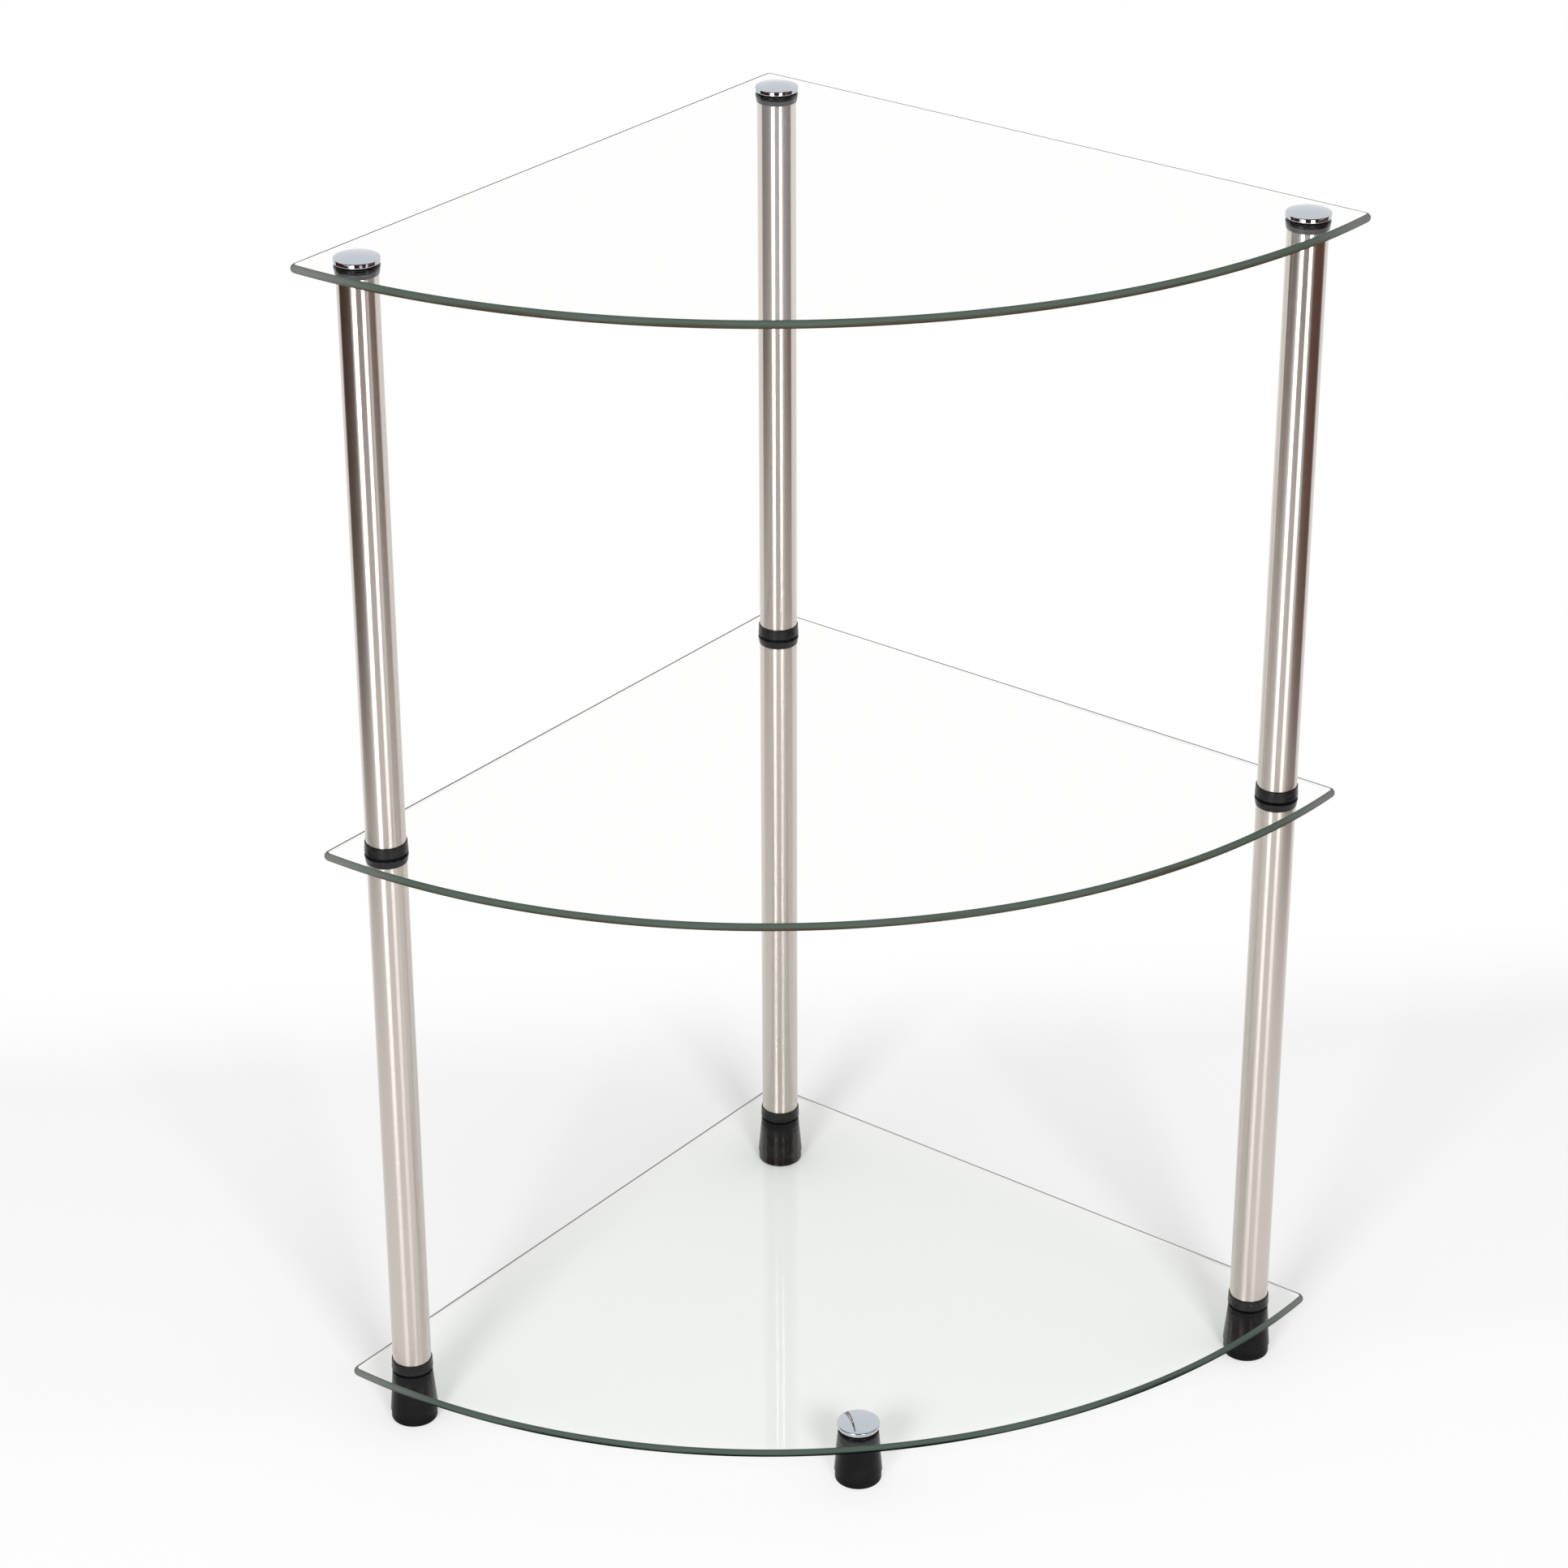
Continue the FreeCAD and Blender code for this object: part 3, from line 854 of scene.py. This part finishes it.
def moulded_plastic(name, settings, gloss):
    """Satin black moulded plastic with a fine grain and a faint bloom."""
    material, tree, shader = new_material(name)
    film = group_node(tree, film_group(), "Mask", cloud_scale=60, speck_scale=1400)
    tree.links.new(
        blend_colours(tree, film, settings.plastic_colour, settings.plastic_pale_colour),
        shader.inputs["Base Color"],
    )
    tree.links.new(mapped(tree, film, 0, 1, *settings.plastic_roughness), shader.inputs["Roughness"])
    shader.inputs["Specular IOR Level"].default_value = gloss
    grain = group_node(tree, grain_group(), "Height", grain_scale=2200)
    add_bump(tree, shader, grain, settings.plastic_grain)
    return material


def pressed_rubber(settings):
    """Black rubber with a dusty bloom and a coarser grain."""
    material, tree, shader = new_material("black_pressed_rubber")
    film = group_node(tree, film_group(), "Mask", cloud_scale=90, speck_scale=1100)
    tree.links.new(
        blend_colours(tree, film, settings.rubber_colour, settings.rubber_pale_colour),
        shader.inputs["Base Color"],
    )
    tree.links.new(mapped(tree, film, 0, 1, *settings.rubber_roughness), shader.inputs["Roughness"])
    shader.inputs["Specular IOR Level"].default_value = settings.rubber_gloss
    grain = group_node(tree, grain_group(), "Height", grain_scale=1500)
    add_bump(tree, shader, grain, settings.rubber_grain)
    return material


def polished_chrome(settings):
    """Bright chrome plating with the faintest film of handling."""
    material, tree, shader = new_material("polished_chrome")
    shader.inputs["Base Color"].default_value = settings.chrome_colour
    shader.inputs["Metallic"].default_value = 1
    film = group_node(tree, film_group(), "Mask", cloud_scale=120, speck_scale=2400)
    tree.links.new(mapped(tree, film, 0, 1, *settings.chrome_roughness), shader.inputs["Roughness"])
    return material


def plated_metal(name, colour, dark_colour, roughness):
    """Plated or turned metal of a hidden fastener, spotted with a darker shade."""
    material, tree, shader = new_material(name)
    film = group_node(tree, film_group(), "Mask", cloud_scale=400, speck_scale=3000)
    tree.links.new(blend_colours(tree, film, colour, dark_colour), shader.inputs["Base Color"])
    tree.links.new(mapped(tree, film, 0, 1, *roughness), shader.inputs["Roughness"])
    shader.inputs["Metallic"].default_value = 1
    return material


# Mesh helpers


def piece_from(name, bm, materials, replaced):
    """A finished piece of the shelf that stands for a CAD node."""
    bmesh.ops.recalc_face_normals(bm, faces=bm.faces)
    for face in bm.faces:
        face.smooth = True
    for edge in bm.edges:
        if edge.calc_face_angle() > SHARP_ANGLE:
            edge.smooth = False
    mesh = bpy.data.meshes.new(name)
    bm.to_mesh(mesh)
    bm.free()
    for material in materials:
        mesh.materials.append(material)
    piece = bpy.data.objects.new(name, mesh)
    bpy.context.scene.collection.objects.link(piece)
    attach(piece, BODY)
    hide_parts(replaced)


def bridge(bm, lower, upper):
    """Four-sided faces between two closed rings of the same number of points."""
    for index in range(len(lower)):
        bm.faces.new((lower[index - 1], lower[index], upper[index], upper[index - 1]))


def ring_edges(bm, ring):
    """The edges of a closed ring of points."""
    return [bm.edges.get((ring[index - 1], ring[index])) for index in range(len(ring))]


def give_material(nodes, material):
    """Gives CAD nodes one material."""
    for node in nodes:
        mesh = frame["nodes"][node].data
        mesh.materials.clear()
        mesh.materials.append(material)


# Glass shelves


def arc_points(centre, radius, start, end, steps):
    """Points along an arc, both ends included."""
    points = []
    for index in range(steps + 1):
        angle = start + (end - start) * index / steps
        points.append((centre[0] + radius * math.cos(angle), centre[1] + radius * math.sin(angle)))
    return points


def shelf_outline(settings, inset):
    """The shelf's outline along its left and right edges from the square corner, moved in by inset."""
    side = settings.side
    tip = settings.tip_round
    corner = settings.corner_round
    reach = math.sqrt((side - tip) ** 2 - tip ** 2)
    lift = math.atan2(tip, reach)
    quarter = math.pi / 2
    few = settings.round_steps
    left_tip = arc_points((reach, tip), tip - inset, -quarter, lift, few)
    front = arc_points((0, 0), side - inset, lift, quarter - lift, settings.front_steps)
    right_tip = arc_points((tip, reach), tip - inset, quarter - lift, 2 * quarter, few)
    square = arc_points((corner, corner), corner - inset, 2 * quarter, 3 * quarter, few)
    return left_tip + front[1:-1] + right_tip + square


def pencil_edge(settings, under, over):
    """Inset and height of the rings that make up the polished outer edge and its lip, from below."""
    radius = settings.pencil_round
    quarter = math.pi / 2
    low = arc_points((radius, under + radius), radius, 3 * quarter, 2 * quarter, settings.edge_steps)
    high = arc_points((radius, over - radius), radius, 2 * quarter, quarter, settings.edge_steps)
    return low + high + [(radius + settings.edge_lip, over)]


def hole_edge(settings, under, over):
    """Inset and height of the rings that make up the wall and bevels of a hole, from below."""
    arris = settings.arris
    return ((-arris, under), (0, under + arris), (0, over - arris), (-arris, over))


def add_wall(bm, rings_of, levels):
    """A wall of rings, each from its inset and height, and the open edges at its bottom and top."""
    rings = []
    for inset, level in levels:
        rings.append([bm.verts.new((place.x, place.y, level)) for place in rings_of(inset)])
    for lower, upper in zip(rings, rings[1:]):
        bridge(bm, lower, upper)
    return ring_edges(bm, rings[0]), ring_edges(bm, rings[-1])


def shelf_mesh(settings, low, high, hole_centres):
    """A shelf between two levels with a polished round edge and drilled holes."""
    bm = bmesh.new()
    corner = Vector((0, low.y + settings.side, 0))
    along_left = Vector((-math.sqrt(0.5), -math.sqrt(0.5), 0))
    along_right = Vector((math.sqrt(0.5), -math.sqrt(0.5), 0))
    under = low.z + settings.air_film
    over = high.z - settings.air_film

    def outline(inset):
        return [corner + u * along_left + v * along_right for u, v in shelf_outline(settings, inset)]

    under_edges, over_edges = add_wall(bm, outline, pencil_edge(settings, under, over))
    for centre in hole_centres:

        def circle(inset):
            radius = settings.hole / 2 - inset
            points = arc_points(centre, radius, 0, 2 * math.pi, settings.hole_steps)
            return [Vector((x, y, 0)) for x, y in points[:-1]]

        hole_under, hole_over = add_wall(bm, circle, hole_edge(settings, under, over))
        under_edges += hole_under
        over_edges += hole_over
    for face in bm.faces:
        face.material_index = 1
    for edges in (under_edges, over_edges):
        bmesh.ops.triangle_fill(bm, edges=edges, use_beauty=True, normal=(0, 0, 1))
        for edge in edges:
            edge.smooth = False
    return bm


class CORNERSHELF_OT_glass_shelves(bpy.types.Operator):
    """Makes the three glass shelves with polished round edges and drilled holes"""

    bl_idname = "corner_shelf.glass_shelves"
    bl_label = "Glass Shelves"

    def execute(self, context):
        settings = context.scene.shelf_glass
        low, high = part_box("bottom_glass_shelf")
        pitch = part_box("middle_glass_shelf")[0].z - low.z
        materials = (clear_glass(settings), polished_edge(settings, low, high, pitch))
        for tier in TIERS:
            node = tier + "_glass_shelf"
            low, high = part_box(node)
            places = FEET if tier == "bottom" else POSTS
            centres = [POST_CENTRES[place] for place in places]
            bm = shelf_mesh(settings, low, high, centres)
            piece_from(tier + "_shelf_glass", bm, materials, node)
        return {"FINISHED"}


# Steel tubes


def tube_mesh(settings, low, high):
    """A hollow tube with its outer edges deburred."""
    bm = bmesh.new()
    centre = (low + high) / 2
    outer = (high.x - low.x) / 2
    inner = outer - settings.wall
    bevel = settings.deburr
    profile = (
        (inner, low.z),
        (outer - bevel, low.z),
        (outer, low.z + bevel),
        (outer, high.z - bevel),
        (outer - bevel, high.z),
        (inner, high.z),
    )
    rings = []
    for radius, level in profile:
        circle = arc_points(centre, radius, 0, 2 * math.pi, settings.steps)[:-1]
        rings.append([bm.verts.new((x, y, level)) for x, y in circle])
    for index in range(len(rings)):
        bridge(bm, rings[index - 1], rings[index])
    return bm


class CORNERSHELF_OT_steel_tubes(bpy.types.Operator):
    """Makes the six brushed steel tubes of the posts"""

    bl_idname = "corner_shelf.steel_tubes"
    bl_label = "Steel Tubes"

    def execute(self, context):
        settings = context.scene.shelf_posts
        steel = brushed_steel(settings)
        for post in POSTS:
            for level in TUBES:
                node = f"{post}_{level}_tube"
                bm = tube_mesh(settings, *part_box(node))
                piece_from(f"{post}_{level}_steel_tube", bm, (steel,), node)
        return {"FINISHED"}


# Collars, feet, caps and fasteners


class CORNERSHELF_OT_collars(bpy.types.Operator):
    """Finishes the black collars at both ends of every tube"""

    bl_idname = "corner_shelf.collars"
    bl_label = "Tube Collars"

    def execute(self, context):
        settings = context.scene.shelf_fittings
        plastic = moulded_plastic("satin_black_plastic", settings, settings.collar_gloss)
        ends = ("base", "head")
        nodes = [f"{post}_{level}_tube_{end}_collar" for post in POSTS for level in TUBES for end in ends]
        give_material(nodes, plastic)
        return {"FINISHED"}


class CORNERSHELF_OT_feet(bpy.types.Operator):
    """Finishes the four tapered feet and the pads under them"""

    bl_idname = "corner_shelf.feet"
    bl_label = "Feet"

    def execute(self, context):
        settings = context.scene.shelf_fittings
        plastic = moulded_plastic("dull_black_plastic", settings, settings.foot_gloss)
        give_material([foot + "_foot" for foot in FEET], plastic)
        give_material([foot + "_foot_pad" for foot in FEET], pressed_rubber(settings))
        return {"FINISHED"}


class CORNERSHELF_OT_caps(bpy.types.Operator):
    """Finishes the chrome caps and the washers under them"""

    bl_idname = "corner_shelf.caps"
    bl_label = "Chrome Caps"

    def execute(self, context):
        settings = context.scene.shelf_fittings
        give_material([foot + "_cap" for foot in FEET], polished_chrome(settings))
        give_material([foot + "_cap_washer" for foot in FEET], pressed_rubber(settings))
        return {"FINISHED"}


class CORNERSHELF_OT_fasteners(bpy.types.Operator):
    """Finishes the studs and threaded inserts hidden in the posts"""

    bl_idname = "corner_shelf.fasteners"
    bl_label = "Hidden Fasteners"

    def execute(self, context):
        settings = context.scene.shelf_fittings
        zinc = plated_metal(
            "zinc_plated_steel", settings.zinc_colour, settings.zinc_dark_colour, settings.zinc_roughness
        )
        brass = plated_metal(
            "turned_brass", settings.brass_colour, settings.brass_dark_colour, settings.brass_roughness
        )
        give_material([f"{post}_{kind}_stud" for post in POSTS for kind in ("joining", "foot")], zinc)
        give_material(["tube_threaded_inserts", "foot_threaded_inserts"], brass)
        return {"FINISHED"}


# Studio


def seen_directly(tree):
    """One for rays from the camera, mirrored or bent on the way or not, and zero for scattered light."""
    path = add_node(tree, "LightPath")
    bent = maths(tree, "MAXIMUM", path.outputs["Is Glossy Ray"], path.outputs["Is Transmission Ray"])
    seen = maths(tree, "MAXIMUM", path.outputs["Is Camera Ray"], bent)
    scattered = maths(tree, "MINIMUM", path.outputs["Diffuse Depth"], 1)
    return maths(tree, "MULTIPLY", seen, maths(tree, "SUBTRACT", 1, scattered))


def white_room(settings):
    """A world that looks white and lights the shelf evenly and more softly."""
    world = bpy.data.worlds.new("white_room")
    world.use_nodes = True
    tree = world.node_tree
    background = tree.nodes["Background"]
    background.inputs["Color"].default_value = (1, 1, 1, 1)
    seen = seen_directly(tree)
    rest = maths(tree, "MULTIPLY", maths(tree, "SUBTRACT", 1, seen), settings.ambient)
    tree.links.new(maths(tree, "ADD", seen, rest), background.inputs["Strength"])
    bpy.context.scene.world = world


def distance_from(tree, place, middle):
    """Distance of each place from a fixed middle."""
    node = add_node(tree, "VectorMath", operation="DISTANCE")
    node.inputs[1].default_value = middle
    tree.links.new(place, node.inputs[0])
    return node.outputs["Value"]


def paper_white(tree, settings):
    """Share of plain white in the paper: all of it behind and far off, and less in front and beside, where
    it is painted light that lifts the shadows near the shelf and stops at the outline of the glass in
    front.
    """
    place = add_node(tree, "TexCoord").outputs["Object"]
    axes = add_node(tree, "SeparateXYZ")
    tree.links.new(place, axes.inputs["Vector"])
    slant = maths(tree, "MULTIPLY", axes.outputs["X"], settings.back_slant)
    behind = mapped(tree, maths(tree, "ADD", axes.outputs["Y"], slant), *settings.back_fade, 0, 1)
    # Painted light in front of the shelf, outside the outline of the glass.
    from_front = distance_from(tree, place, settings.front_middle)
    beyond = mapped(tree, from_front, *settings.front_fade, 0, settings.front_light_share)
    before = maths(tree, "MULTIPLY", beyond, mapped(tree, axes.outputs["Y"], *settings.front_line, 0, 1))
    from_middle = distance_from(tree, place, (0, 0, 0))
    # Painted light beside the shelf.
    beside = mapped(tree, from_middle, *settings.side_fade, 0, settings.side_light_share)
    around = mapped(tree, from_middle, *settings.far_fade, 0, 1)
    white = behind
    for other in (before, beside, around):
        white = maths(tree, "MAXIMUM", white, other)
    return white


def paper_floor(settings):
    """Pale paper that keeps the shadows near the shelf, lifted by painted light in front of and beside it,
    and runs out to white.
    """
    material, tree, shader = new_material("pale_paper_floor")
    shader.inputs["Base Color"].default_value = settings.floor_colour
    shader.inputs["Roughness"].default_value = 1
    shader.inputs["Specular IOR Level"].default_value = 0
    glow = add_node(tree, "Emission")
    white_seen = maths(tree, "MULTIPLY", paper_white(tree, settings), seen_directly(tree))
    surface = switched(tree, white_seen, shader.outputs["BSDF"], glow.outputs["Emission"])
    tree.links.new(surface, tree.nodes["Material Output"].inputs["Surface"])
    material.cycles.emission_sampling = "NONE"
    bm = bmesh.new()
    bmesh.ops.create_circle(bm, cap_ends=True, radius=settings.floor_radius, segments=96)
    stage_piece("paper_floor", bm, material)


def stage_piece(name, bm, material):
    """A piece of the studio, which is not part of the shelf."""
    mesh = bpy.data.meshes.new(name)
    bm.to_mesh(mesh)
    bm.free()
    mesh.materials.append(material)
    piece = bpy.data.objects.new(name, mesh)
    bpy.context.scene.collection.objects.link(piece)
    return piece


def mirrored_card(name, colour):
    """A card that glows in its colour where metal or glass mirrors it and is clear otherwise."""
    material = bpy.data.materials.new(name)
    material.use_nodes = True
    tree = material.node_tree
    tree.nodes.clear()
    output = tree.nodes.new("ShaderNodeOutputMaterial")
    glow = add_node(tree, "Emission")
    glow.inputs["Color"].default_value = colour
    unseen = add_node(tree, "BsdfTransparent")
    path = add_node(tree, "LightPath")
    mirrored = maths(tree, "MINIMUM", path.outputs["Glossy Depth"], 1)
    surface = switched(tree, mirrored, unseen.outputs["BSDF"], glow.outputs["Emission"])
    tree.links.new(surface, output.inputs["Surface"])
    material.cycles.emission_sampling = "NONE"
    return material


def dark_room(settings):
    """Dark cards at both sides and a dark front, which only show mirrored."""
    dark = mirrored_card("dark_card", settings.card_colour)
    right = mirrored_card("right_card", settings.right_card_colour)
    rise = Vector((0, 0, settings.card_height))
    wide = settings.room_width
    near, far = settings.paper_front, settings.room_front
    high = settings.room_height
    cards = {
        "front_dark_floor": ((-wide, near, MM), (wide, near, MM), (wide, far, MM), (-wide, far, MM)),
        "front_dark_wall": ((-wide, far, 0), (wide, far, 0), (wide, far, high), (-wide, far, high)),
        "front_dark_ceiling": ((-wide, far, high), (wide, far, high), (wide, 0, high), (-wide, 0, high)),
    }
    sides = {
        "left_dark_card": (Vector(settings.left_card_front), Vector(settings.left_card_back)),
        "right_dark_card": (Vector(settings.right_card_front), Vector(settings.right_card_back)),
    }
    for name, (front, back) in sides.items():
        cards[name] = (front, back, back + rise, front + rise)
    for name, corners in cards.items():
        bm = bmesh.new()
        bm.faces.new([bm.verts.new(corner) for corner in corners])
        card = stage_piece(name, bm, right if name == "right_dark_card" else dark)
        for ray in ("camera", "diffuse", "shadow", "volume_scatter"):
            setattr(card, "visible_" + ray, False)


def aimed_lamp(name, shape, size, power, place, hidden_from):
    """A lamp aimed at the middle of the shelf, which some kinds of ray do not meet."""
    light = bpy.data.lights.new(name, "AREA")
    light.shape = shape
    light.size = size
    light.energy = power
    lamp = bpy.data.objects.new(name, light)
    bpy.context.scene.collection.objects.link(lamp)
    middle = (cad_box[0] + cad_box[1]) / 2
    aim = middle - Vector(place)
    lamp.rotation_euler = aim.to_track_quat("-Z", "Y").to_euler()
    lamp.location = place
    for ray in hidden_from:
        setattr(lamp, "visible_" + ray, False)


def studio_lamps(settings):
    """Two square lamps that light the shelf and two round ones that draw streaks on its metal."""
    for name, place in (("left_lamp", settings.left_lamp), ("right_lamp", settings.right_lamp)):
        aimed_lamp(name, "SQUARE", settings.lamp_size, settings.lamp_power, place, ("camera", "glossy"))
    for name, place, power in (
        ("left_dish", settings.left_dish, settings.left_dish_power),
        ("right_dish", settings.right_dish, settings.right_dish_power),
    ):
        aimed_lamp(name, "DISK", settings.dish_size, power, place, ("camera", "diffuse"))


def photo_camera(settings):
    """The camera at the viewing angle of the photograph."""
    data = bpy.data.cameras.new("camera")
    data.sensor_width = 36
    data.lens = settings.focal_length
    camera = bpy.data.objects.new("camera", data)
    bpy.context.scene.collection.objects.link(camera)
    camera.matrix_world = (
        Matrix.Translation(settings.camera_place)
        @ Matrix.Rotation(settings.camera_yaw, 4, "Z")
        @ Matrix.Rotation(math.pi / 2 + settings.camera_pitch, 4, "X")
        @ Matrix.Rotation(settings.camera_roll, 4, "Z")
    )
    bpy.context.scene.camera = camera


class CORNERSHELF_OT_studio(bpy.types.Operator):
    """Sets up the pale floor, the dark room, the lamps and the camera"""

    bl_idname = "corner_shelf.studio"
    bl_label = "Studio"

    def execute(self, context):
        settings = context.scene.shelf_stage
        white_room(settings)
        paper_floor(settings)
        dark_room(settings)
        studio_lamps(settings)
        photo_camera(settings)
        context.scene.view_settings.view_transform = "Standard"
        return {"FINISHED"}


# Panel and registration


class CORNERSHELF_PT_sidebar(bpy.types.Panel):
    """Lists the steps that dress the corner shelf"""

    bl_label = "Corner Shelf"
    bl_idname = "CORNERSHELF_PT_sidebar"
    bl_space_type = "VIEW_3D"
    bl_region_type = "UI"
    bl_category = "Corner Shelf"

    def draw(self, context):
        for operator in OPERATORS:
            self.layout.operator(operator.bl_idname)


SETTINGS = {
    "shelf_glass": ShelfGlassSettings,
    "shelf_posts": ShelfPostSettings,
    "shelf_fittings": ShelfFittingSettings,
    "shelf_stage": ShelfStageSettings,
}
OPERATORS = (
    CORNERSHELF_OT_glass_shelves,
    CORNERSHELF_OT_steel_tubes,
    CORNERSHELF_OT_collars,
    CORNERSHELF_OT_feet,
    CORNERSHELF_OT_caps,
    CORNERSHELF_OT_fasteners,
    CORNERSHELF_OT_studio,
)


def register():
    """Registers the settings, the operators and the panel."""
    for name, group in SETTINGS.items():
        bpy.utils.register_class(group)
        setattr(bpy.types.Scene, name, PointerProperty(type=group))
    for operator in OPERATORS:
        bpy.utils.register_class(operator)
    bpy.utils.register_class(CORNERSHELF_PT_sidebar)


def unregister():
    """Takes the panel, the operators and the settings out again."""
    bpy.utils.unregister_class(CORNERSHELF_PT_sidebar)
    for operator in reversed(OPERATORS):
        bpy.utils.unregister_class(operator)
    for name, group in reversed(SETTINGS.items()):
        delattr(bpy.types.Scene, name)
        bpy.utils.unregister_class(group)


def main():
    """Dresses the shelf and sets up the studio."""
    register()
    bpy.ops.corner_shelf.glass_shelves()
    bpy.ops.corner_shelf.steel_tubes()
    bpy.ops.corner_shelf.collars()
    bpy.ops.corner_shelf.feet()
    bpy.ops.corner_shelf.caps()
    bpy.ops.corner_shelf.fasteners()
    bpy.ops.corner_shelf.studio()


if __name__ == "__main__":
    main()
